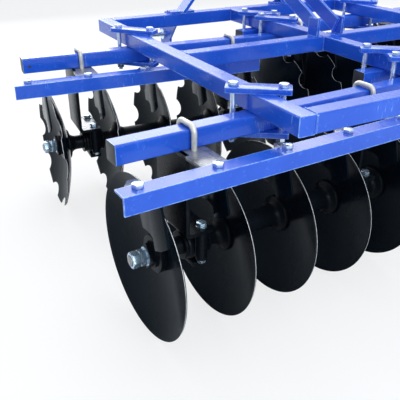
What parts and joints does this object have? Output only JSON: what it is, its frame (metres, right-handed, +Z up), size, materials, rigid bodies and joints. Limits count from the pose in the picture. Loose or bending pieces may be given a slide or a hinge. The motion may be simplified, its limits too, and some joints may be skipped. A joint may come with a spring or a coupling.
{
  "type": "mounted tandem disc harrow",
  "caption": "Three-point mounted tandem disc harrow: bolted square-tube frame over gangs of dished discs that roll on shared axles, with scrapers and hanger bearings.",
  "frame": {"origin": "on the ground, under the middle of the machine's plan", "axes": "+X to the machine's right, +Y the way it is towed, +Z up"},
  "size_m": [2.1514, 1.44, 1.0189],
  "materials": {
    "frame_paint": "gloss",
    "disc_enamel": "gloss",
    "black_paint": "satin",
    "zinc_plate": "zinc plated"
  },
  "bodies": {
    "frame": {"side_rail_left": "frame_paint", "centre_rail": "frame_paint", "side_rail_right": "frame_paint", "front_cross_rails": "frame_paint", "middle_cross_rails": "frame_paint", "rear_cross_rails": "frame_paint", "mast_legs": "frame_paint", "mast_stays": "frame_paint", "lower_link_brackets": "frame_paint", "lower_link_pins": "zinc_plate", "hanger_u_bolts": "zinc_plate", "rail_clamps": "frame_paint", "beam_front_left": "frame_paint", "scraper_bar_front_left": "frame_paint", "scrapers_front_left": "black_paint", "hangers_front_left": "black_paint", "bearings_front_left": "black_paint", "beam_front_right": "frame_paint", "scraper_bar_front_right": "frame_paint", "scrapers_front_right": "black_paint", "hangers_front_right": "black_paint", "bearings_front_right": "black_paint", "beam_rear_left": "frame_paint", "scraper_bar_rear_left": "frame_paint", "scrapers_rear_left": "black_paint", "hangers_rear_left": "black_paint", "bearings_rear_left": "black_paint", "beam_rear_right": "frame_paint", "scraper_bar_rear_right": "frame_paint", "scrapers_rear_right": "black_paint", "hangers_rear_right": "black_paint", "bearings_rear_right": "black_paint"},
    "gang_front_left": {"discs_front_left": "disc_enamel", "spools_front_left": "black_paint", "gang_bolt_front_left": "zinc_plate"},
    "gang_front_right": {"discs_front_right": "disc_enamel", "spools_front_right": "black_paint", "gang_bolt_front_right": "zinc_plate"},
    "gang_rear_left": {"discs_rear_left": "disc_enamel", "spools_rear_left": "black_paint", "gang_bolt_rear_left": "zinc_plate"},
    "gang_rear_right": {"discs_rear_right": "disc_enamel", "spools_rear_right": "black_paint", "gang_bolt_rear_right": "zinc_plate"}
  },
  "joints": [
    {"name": "roll_front_left", "type": "hinge", "parent": "frame", "child": "gang_front_left", "pos_m": [-0.48493, 0.32323, 0.23], "axis": [0.9969, -0.0785, 0], "continuous": true},
    {"name": "roll_front_right", "type": "hinge", "parent": "frame", "child": "gang_front_right", "pos_m": [0.48493, 0.44723, 0.23], "axis": [0.9969, 0.0785, 0], "continuous": true},
    {"name": "roll_rear_left", "type": "hinge", "parent": "frame", "child": "gang_rear_left", "pos_m": [-0.48838, -0.46657, 0.23], "axis": [0.9986, 0.0523, 0], "continuous": true},
    {"name": "roll_rear_right", "type": "hinge", "parent": "frame", "child": "gang_rear_right", "pos_m": [0.48838, -0.34257, 0.23], "axis": [0.9986, -0.0523, 0], "continuous": true}
  ]
}
